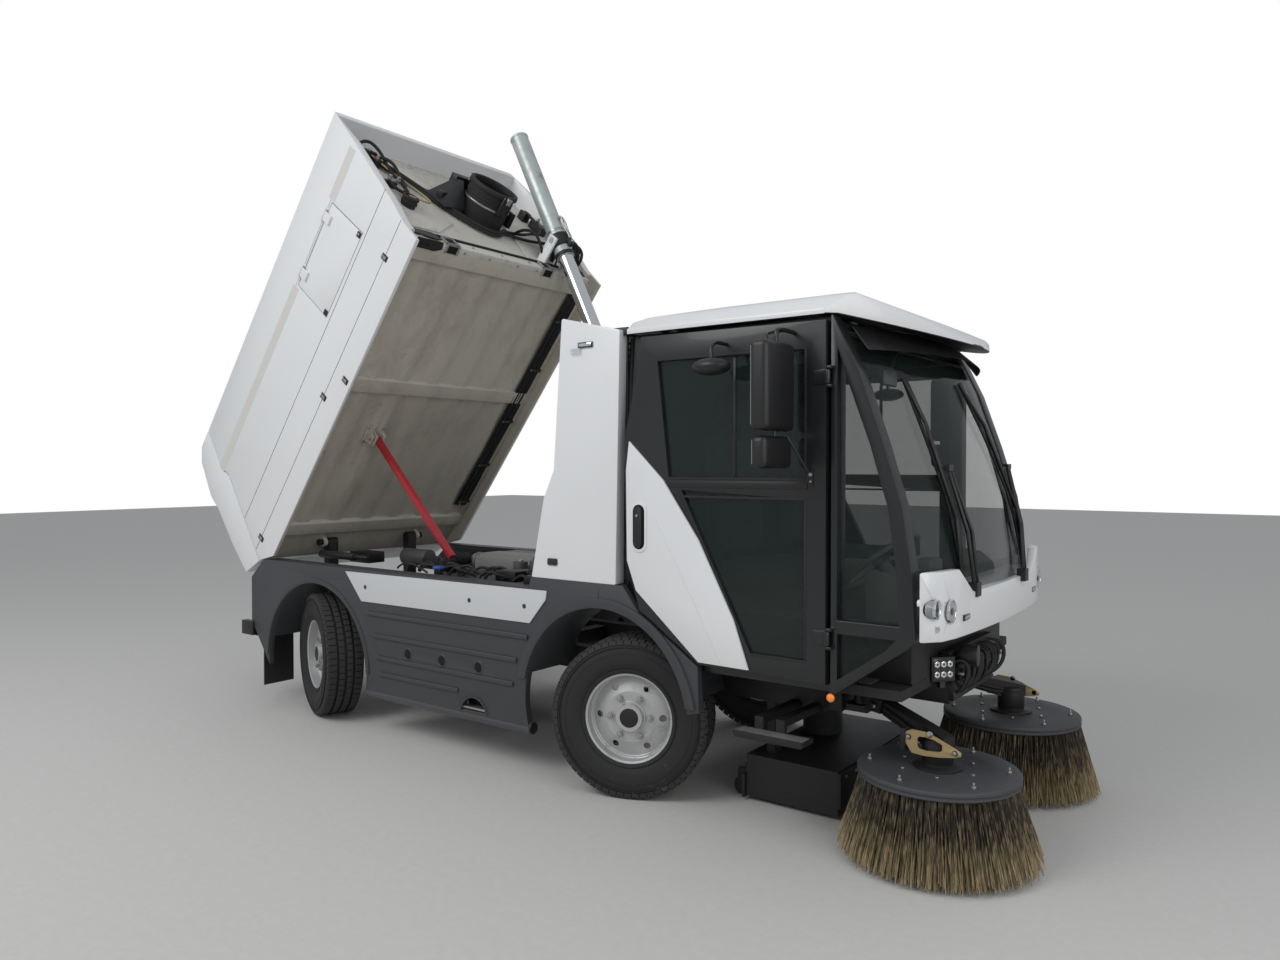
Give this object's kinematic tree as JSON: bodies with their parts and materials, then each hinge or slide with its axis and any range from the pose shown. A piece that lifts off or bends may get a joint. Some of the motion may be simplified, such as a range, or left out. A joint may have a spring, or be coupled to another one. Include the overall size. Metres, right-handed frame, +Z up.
{
  "type": "compact street sweeper",
  "caption": "Compact street sweeper with a glazed cab, two front brushes, a suction nozzle, a tipped hopper on a ram and steered front and rear wheels.",
  "frame": {"origin": "on the ground under the middle of the machine's box, as it stands with its hopper tipped", "axes": "+X forward, +Y to the machine's left, +Z up"},
  "size_m": [5.5782, 2.2, 3.7739],
  "materials": {
    "white_panel": "gloss white paint",
    "dark_panel": "dark grey moulded plastic",
    "frame_black": "satin black paint",
    "plate_white": "pale plate",
    "engine_grey": "dark cast block",
    "duct_grey": "grey moulded housing",
    "cab_black": "satin black frame",
    "floor_black": "black mat",
    "glass": "dark tinted glass",
    "seat_cloth": "dark cloth",
    "lamp": "clear lamp",
    "axle_black": "black axle",
    "rim_silver": "worn silver paint",
    "tyre": "rubber",
    "hopper_white": "white paint",
    "chrome_rod": "hard chrome",
    "barrel_worn": "worn pale paint",
    "prop_red": "red paint",
    "link_tan": "tan plate",
    "bristle": "straw bristles",
    "hose_black": "black rubber"
  },
  "bodies": {
    "chassis": {"chassis_frame": "frame_black", "side_bodies": "dark_panel", "side_plates": "plate_white", "rear_bumper": "dark_panel", "engine": "engine_grey", "air_duct": "duct_grey", "towers": "white_panel", "cooling_pack": "cab_black", "cab_floor": "floor_black", "cab_frame": "cab_black", "cab_roof": "white_panel", "nose": "white_panel", "cab_glass": "glass", "dashboard": "floor_black", "seats": "seat_cloth", "wipers": "cab_black", "lamps": "lamp", "axles": "axle_black", "suction_nozzle": "frame_black", "suction_tube": "hose_black", "sweep_frame": "frame_black"},
    "door_right": {"door_right": "cab_black", "door_skin_right": "white_panel", "door_glass_right": "glass", "mirrors_right": "dark_panel"},
    "door_left": {"door_left": "cab_black", "door_skin_left": "white_panel", "door_glass_left": "glass", "mirrors_left": "dark_panel"},
    "knuckle_front_right": {"knuckle_front_right": "axle_black"},
    "wheel_front_right": {"rim_front_right": "rim_silver", "tyre_front_right": "tyre"},
    "knuckle_front_left": {"knuckle_front_left": "axle_black"},
    "wheel_front_left": {"rim_front_left": "rim_silver", "tyre_front_left": "tyre"},
    "knuckle_rear_right": {"knuckle_rear_right": "axle_black"},
    "wheel_rear_right": {"rim_rear_right": "rim_silver", "tyre_rear_right": "tyre"},
    "knuckle_rear_left": {"knuckle_rear_left": "axle_black"},
    "wheel_rear_left": {"rim_rear_left": "rim_silver", "tyre_rear_left": "tyre"},
    "nozzle_rollers": {"nozzle_rollers": "hose_black"},
    "hopper": {"hopper_tank": "hopper_white", "hopper_duct": "hose_black"},
    "tailgate": {"tailgate": "hopper_white"},
    "hatch": {"hatch": "hopper_white"},
    "ram_barrel": {"ram_barrel": "barrel_worn"},
    "ram_stage_1": {"ram_stage_1": "chrome_rod"},
    "ram_stage_2": {"ram_stage_2": "chrome_rod"},
    "ram_rod": {"ram_rod": "chrome_rod"},
    "prop": {"prop": "prop_red"},
    "arm_right": {"arm_right": "frame_black"},
    "link_right": {"link_right": "link_tan"},
    "brush_right": {"brush_right": "bristle"},
    "arm_left": {"arm_left": "frame_black"},
    "link_left": {"link_left": "link_tan"},
    "brush_left": {"brush_left": "bristle"}
  },
  "joints": [
    {"name": "door_right", "type": "hinge", "parent": "chassis", "child": "door_right", "pos_m": [2.0551, -0.812, 1.37], "axis": [0, 0, 1], "range_deg": [0, 70]},
    {"name": "door_left", "type": "hinge", "parent": "chassis", "child": "door_left", "pos_m": [2.0551, 0.812, 1.37], "axis": [0, 0, -1], "range_deg": [0, 70]},
    {"name": "steer_front_right", "type": "hinge", "parent": "chassis", "child": "knuckle_front_right", "pos_m": [0.9841, -0.6, 0.372], "axis": [0, 0, 1], "range_deg": [-51, 9]},
    {"name": "spin_front_right", "type": "hinge", "parent": "knuckle_front_right", "child": "wheel_front_right", "pos_m": [0.9841, -0.6, 0.372], "axis": [0.3584, -0.9336, 0], "continuous": true},
    {"name": "steer_front_left", "type": "hinge", "parent": "chassis", "child": "knuckle_front_left", "pos_m": [0.9841, 0.6, 0.372], "axis": [0, 0, 1], "range_deg": [-51, 9]},
    {"name": "spin_front_left", "type": "hinge", "parent": "knuckle_front_left", "child": "wheel_front_left", "pos_m": [0.9841, 0.6, 0.372], "axis": [-0.3584, 0.9336, 0], "continuous": true},
    {"name": "steer_rear_right", "type": "hinge", "parent": "chassis", "child": "knuckle_rear_right", "pos_m": [-1.3159, -0.6, 0.372], "axis": [0, 0, 1], "range_deg": [-9, 51]},
    {"name": "spin_rear_right", "type": "hinge", "parent": "knuckle_rear_right", "child": "wheel_rear_right", "pos_m": [-1.3159, -0.6, 0.372], "axis": [-0.3584, -0.9336, 0], "continuous": true},
    {"name": "steer_rear_left", "type": "hinge", "parent": "chassis", "child": "knuckle_rear_left", "pos_m": [-1.3159, 0.6, 0.372], "axis": [0, 0, 1], "range_deg": [-9, 51]},
    {"name": "spin_rear_left", "type": "hinge", "parent": "knuckle_rear_left", "child": "wheel_rear_left", "pos_m": [-1.3159, 0.6, 0.372], "axis": [0.3584, 0.9336, 0], "continuous": true},
    {"name": "nozzle_rollers", "type": "hinge", "parent": "chassis", "child": "nozzle_rollers", "pos_m": [1.4391, 0, 0.045], "axis": [0, 1, 0], "continuous": true},
    {"name": "hopper_tip", "type": "hinge", "parent": "chassis", "child": "hopper", "pos_m": [-1.8339, 0, 1.015], "axis": [0, 1, 0], "range_deg": [0, 52]},
    {"name": "tailgate", "type": "hinge", "parent": "hopper", "child": "tailgate", "pos_m": [-2.77415, 0, 1.68107], "axis": [0, 1, 0], "range_deg": [0, 80]},
    {"name": "hatch", "type": "hinge", "parent": "hopper", "child": "hatch", "pos_m": [-1.32605, -0.81, 2.87835], "axis": [-0.6157, 0, -0.788], "range_deg": [0, 110]},
    {"name": "ram_barrel", "type": "hinge", "parent": "hopper", "child": "ram_barrel", "pos_m": [-0.43068, 0.43, 2.98971], "axis": [0, 1, 0], "range_deg": [-26.06, 0]},
    {"name": "ram_stage_1", "type": "slide", "parent": "ram_barrel", "child": "ram_stage_1", "axis": [-0.4375, 0, 0.8992], "range_m": [0, 0.6997]},
    {"name": "ram_stage_2", "type": "slide", "parent": "ram_stage_1", "child": "ram_stage_2", "axis": [-0.4375, 0, 0.8992], "range_m": [0, 0.6997]},
    {"name": "ram_rod", "type": "slide", "parent": "ram_stage_2", "child": "ram_rod", "axis": [-0.4375, 0, 0.8992], "range_m": [0, 0.6997]},
    {"name": "prop", "type": "hinge", "parent": "hopper", "child": "prop", "pos_m": [-1.26047, -0.39, 1.70022], "axis": [0, 1, 0], "range_deg": [-97.5, 0]},
    {"name": "arm_right", "type": "hinge", "parent": "chassis", "child": "arm_right", "pos_m": [1.9841, -0.3, 0.54], "axis": [0, 0, -1], "range_deg": [0, 20]},
    {"name": "lift_right", "type": "hinge", "parent": "arm_right", "child": "link_right", "pos_m": [2.11627, -0.37092, 0.52], "axis": [-0.4728, -0.8812, 0], "range_deg": [0, 15]},
    {"name": "brush_right", "type": "hinge", "parent": "link_right", "child": "brush_right", "pos_m": [2.3941, -0.52, 0.33], "axis": [0, 0, 1], "continuous": true},
    {"name": "arm_left", "type": "hinge", "parent": "chassis", "child": "arm_left", "pos_m": [1.9841, 0.3, 0.54], "axis": [0, 0, 1], "range_deg": [0, 20]},
    {"name": "lift_left", "type": "hinge", "parent": "arm_left", "child": "link_left", "pos_m": [2.11627, 0.37092, 0.52], "axis": [0.4728, -0.8812, 0], "range_deg": [0, 15]},
    {"name": "brush_left", "type": "hinge", "parent": "link_left", "child": "brush_left", "pos_m": [2.3941, 0.52, 0.33], "axis": [0, 0, 1], "continuous": true}
  ],
  "couplings": [
    {"joint": "steer_front_left", "follows": "steer_front_right", "ratio": 1},
    {"joint": "steer_rear_right", "follows": "steer_front_right", "ratio": -1},
    {"joint": "steer_rear_left", "follows": "steer_front_right", "ratio": -1},
    {"joint": "ram_barrel", "follows": "hopper_tip", "ratio": -0.50104},
    {"joint": "ram_stage_1", "follows": "hopper_tip", "m_per_rad": 0.7709},
    {"joint": "ram_stage_2", "follows": "hopper_tip", "m_per_rad": 0.7709},
    {"joint": "ram_rod", "follows": "hopper_tip", "m_per_rad": 0.7709},
    {"joint": "prop", "follows": "hopper_tip", "ratio": -1.875}
  ]
}
